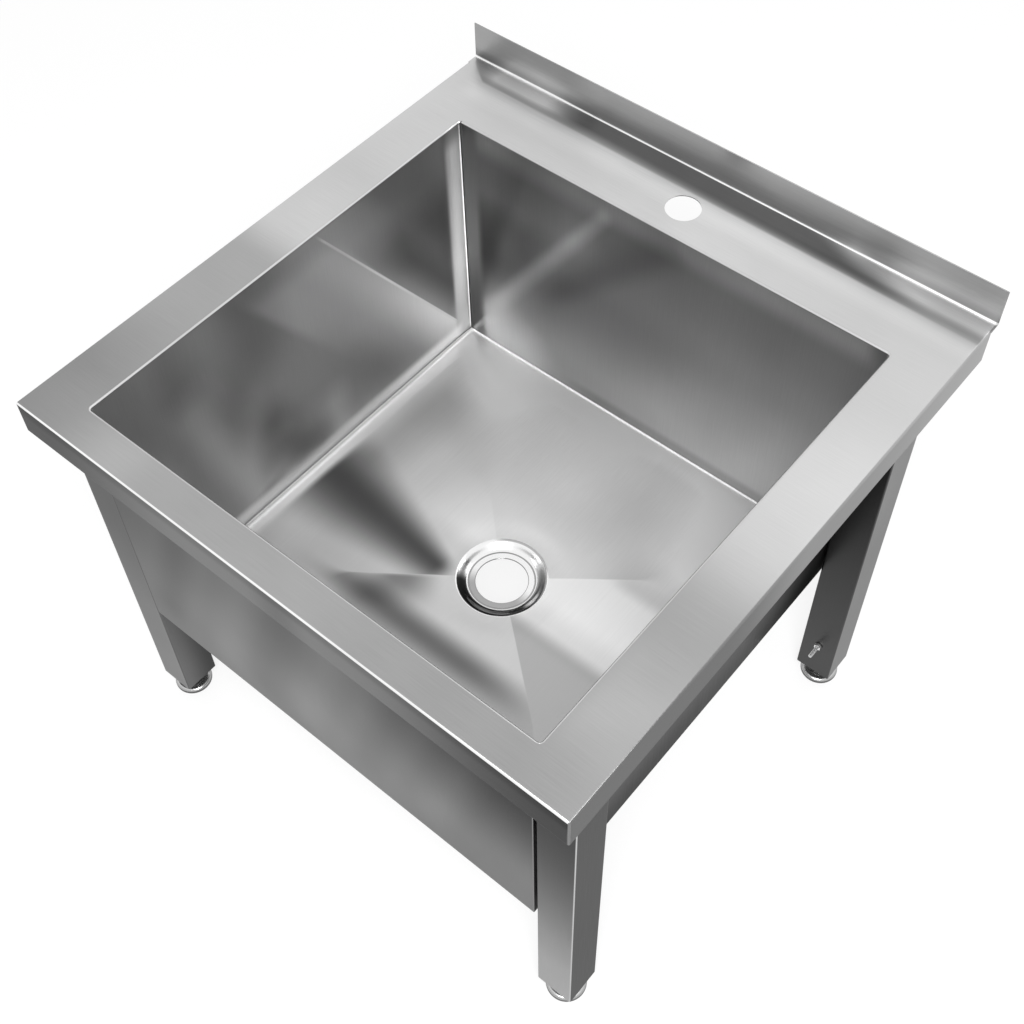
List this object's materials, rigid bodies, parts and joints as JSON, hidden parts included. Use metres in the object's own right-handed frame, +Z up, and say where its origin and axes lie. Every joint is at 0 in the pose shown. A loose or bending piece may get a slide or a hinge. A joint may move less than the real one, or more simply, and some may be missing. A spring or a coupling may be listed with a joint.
{
  "type": "utility sink",
  "caption": "Low stainless steel sink on square legs: folded deck with upstand, deep square bowl with drain recess, tap hole, front skirt and adjustable feet.",
  "frame": {"origin": "on the floor, under the middle of the deck", "axes": "+X to the right as one stands at the front, +Y towards the upstand and the wall, +Z up"},
  "size_m": [0.6, 0.6, 0.54],
  "materials": {
    "deck_steel": "satin",
    "wall_steel": "satin",
    "floor_steel": "satin",
    "polished_steel": "polished",
    "panel_steel": "satin",
    "leg_steel": "satin",
    "channel_steel": "mill",
    "plug_plastic": "matte",
    "screw_steel": "machined",
    "foot_steel": "polished",
    "stud_steel": "machined"
  },
  "bodies": {
    "frame": {"deck": "deck_steel", "bowl_walls": "wall_steel", "bowl_floor": "floor_steel", "drain_recess": "polished_steel", "front_panel": "panel_steel", "leg_front_left": "leg_steel", "leg_front_right": "leg_steel", "leg_back_left": "leg_steel", "leg_back_right": "leg_steel", "side_channel_left": "channel_steel", "side_channel_right": "channel_steel", "foot_plug_front_left": "plug_plastic", "foot_plug_front_right": "plug_plastic", "foot_plug_back_left": "plug_plastic", "foot_plug_back_right": "plug_plastic", "bonding_stud": "stud_steel", "bonding_washer": "stud_steel", "bonding_nut": "stud_steel"},
    "foot_front_left": {"foot_disc_front_left": "foot_steel"},
    "foot_front_right": {"foot_disc_front_right": "foot_steel"},
    "foot_back_left": {"foot_disc_back_left": "foot_steel"},
    "foot_back_right": {"foot_disc_back_right": "foot_steel"},
    "screw_front_left": {"foot_screw_front_left": "screw_steel"},
    "screw_front_right": {"foot_screw_front_right": "screw_steel"},
    "screw_back_left": {"foot_screw_back_left": "screw_steel"},
    "screw_back_right": {"foot_screw_back_right": "screw_steel"}
  },
  "joints": [
    {"name": "foot_height_front_left", "type": "slide", "parent": "frame", "child": "foot_front_left", "axis": [0, 0, 1], "range_m": [-0.012, 0.009]},
    {"name": "foot_height_front_right", "type": "slide", "parent": "frame", "child": "foot_front_right", "axis": [0, 0, 1], "range_m": [-0.012, 0.009]},
    {"name": "foot_height_back_left", "type": "slide", "parent": "frame", "child": "foot_back_left", "axis": [0, 0, 1], "range_m": [-0.012, 0.009]},
    {"name": "foot_height_back_right", "type": "slide", "parent": "frame", "child": "foot_back_right", "axis": [0, 0, 1], "range_m": [-0.012, 0.009]},
    {"name": "screw_turn_front_left", "type": "hinge", "parent": "foot_front_left", "child": "screw_front_left", "pos_m": [-0.267, -0.253, 0.04], "axis": [0, 0, 1], "range_deg": [-2880, 2160]},
    {"name": "screw_turn_front_right", "type": "hinge", "parent": "foot_front_right", "child": "screw_front_right", "pos_m": [0.267, -0.253, 0.04], "axis": [0, 0, 1], "range_deg": [-2880, 2160]},
    {"name": "screw_turn_back_left", "type": "hinge", "parent": "foot_back_left", "child": "screw_back_left", "pos_m": [-0.267, 0.2, 0.04], "axis": [0, 0, 1], "range_deg": [-2880, 2160]},
    {"name": "screw_turn_back_right", "type": "hinge", "parent": "foot_back_right", "child": "screw_back_right", "pos_m": [0.267, 0.2, 0.04], "axis": [0, 0, 1], "range_deg": [-2880, 2160]}
  ],
  "couplings": [
    {"joint": "screw_turn_front_left", "follows": "foot_height_front_left", "rad_per_m": 4188.8},
    {"joint": "screw_turn_front_right", "follows": "foot_height_front_right", "rad_per_m": 4188.8},
    {"joint": "screw_turn_back_left", "follows": "foot_height_back_left", "rad_per_m": 4188.8},
    {"joint": "screw_turn_back_right", "follows": "foot_height_back_right", "rad_per_m": 4188.8}
  ]
}
